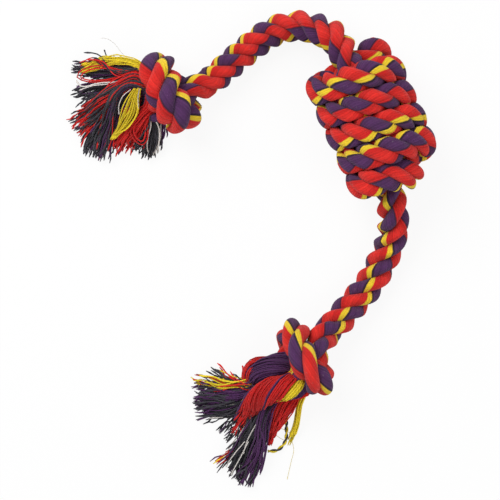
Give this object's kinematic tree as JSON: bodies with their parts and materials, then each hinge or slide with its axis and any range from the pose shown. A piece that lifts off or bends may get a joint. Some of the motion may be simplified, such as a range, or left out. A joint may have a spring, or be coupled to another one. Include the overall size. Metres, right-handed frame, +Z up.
{
  "type": "rope dog toy",
  "caption": "Laid cotton rope wound into a barrel-shaped grip, with two arms, an overhand knot near each end and frayed tassels, for tugging and chewing.",
  "frame": {"origin": "on the table, on the flat under the middle of the wound grip", "axes": "+Z up from the table the toy lies on; +Y and +X along the table, up and right as the picture shows it"},
  "size_m": [0.2047, 0.2567, 0.0533],
  "materials": {
    "rope_cotton": "matte three-strand cotton in red, purple and yellow",
    "red_yarn": "matte soft cotton",
    "purple_yarn": "matte soft cotton",
    "yellow_yarn": "matte soft cotton",
    "charcoal_yarn": "matte soft cotton"
  },
  "bodies": {
    "centre_knot": {"centre_winding": "rope_cotton", "centre_upper_pass": "rope_cotton", "centre_lower_pass": "rope_cotton", "upper_rope_inner": "rope_cotton", "lower_rope_inner": "rope_cotton"},
    "upper_rope": {"upper_rope_middle": "rope_cotton"},
    "upper_end": {"upper_knot": "rope_cotton", "upper_neck": "rope_cotton", "upper_rope_outer": "rope_cotton"},
    "upper_tassel": {"upper_lock_yellow_top": "yellow_yarn", "upper_lock_black_left": "charcoal_yarn", "upper_lock_red_left": "red_yarn", "upper_lock_black_low": "charcoal_yarn", "upper_lock_yellow_front": "yellow_yarn", "upper_lock_red_low": "red_yarn", "upper_lock_black_right": "charcoal_yarn"},
    "lower_rope": {"lower_rope_middle": "rope_cotton"},
    "lower_end": {"lower_knot": "rope_cotton", "lower_neck": "rope_cotton", "lower_rope_outer": "rope_cotton"},
    "lower_tassel": {"lower_lock_purple_left": "purple_yarn", "lower_lock_red_front": "red_yarn", "lower_lock_charcoal_long": "charcoal_yarn", "lower_lock_red_low": "red_yarn", "lower_lock_yellow_thin": "yellow_yarn", "lower_twisted_yarn": "charcoal_yarn"}
  },
  "joints": [
    {"name": "upper_arm_swing", "type": "hinge", "parent": "centre_knot", "child": "upper_rope", "pos_m": [-0.0273, 0.0471, 0.0195], "axis": [0, 0, 1], "range_deg": [-45, 45], "deforming": ["upper_rope_inner"]},
    {"name": "upper_arm_lift", "type": "hinge", "parent": "upper_rope", "child": "upper_end", "pos_m": [-0.0745, 0.0312, 0.01], "axis": [-0.6716, 0.7409, 0], "range_deg": [-45, 60], "deforming": ["upper_rope_outer"]},
    {"name": "upper_tassel_flop", "type": "hinge", "parent": "upper_end", "child": "upper_tassel", "pos_m": [-0.1328, 0.0125, 0.0151], "axis": [-0.5739, 0.8189, 0], "range_deg": [-20, 60]},
    {"name": "lower_arm_swing", "type": "hinge", "parent": "centre_knot", "child": "lower_rope", "pos_m": [0.0124, -0.0621, 0.0151], "axis": [0, 0, 1], "range_deg": [-45, 45], "deforming": ["lower_rope_inner"]},
    {"name": "lower_arm_lift", "type": "hinge", "parent": "lower_rope", "child": "lower_end", "pos_m": [-0.0085, -0.1024, 0.009], "axis": [-0.7345, 0.6786, 0], "range_deg": [-45, 60], "deforming": ["lower_rope_outer"]},
    {"name": "lower_tassel_flop", "type": "hinge", "parent": "lower_end", "child": "lower_tassel", "pos_m": [-0.0572, -0.1378, 0.0207], "axis": [-0.866, 0.5, 0], "range_deg": [-20, 60]}
  ]
}
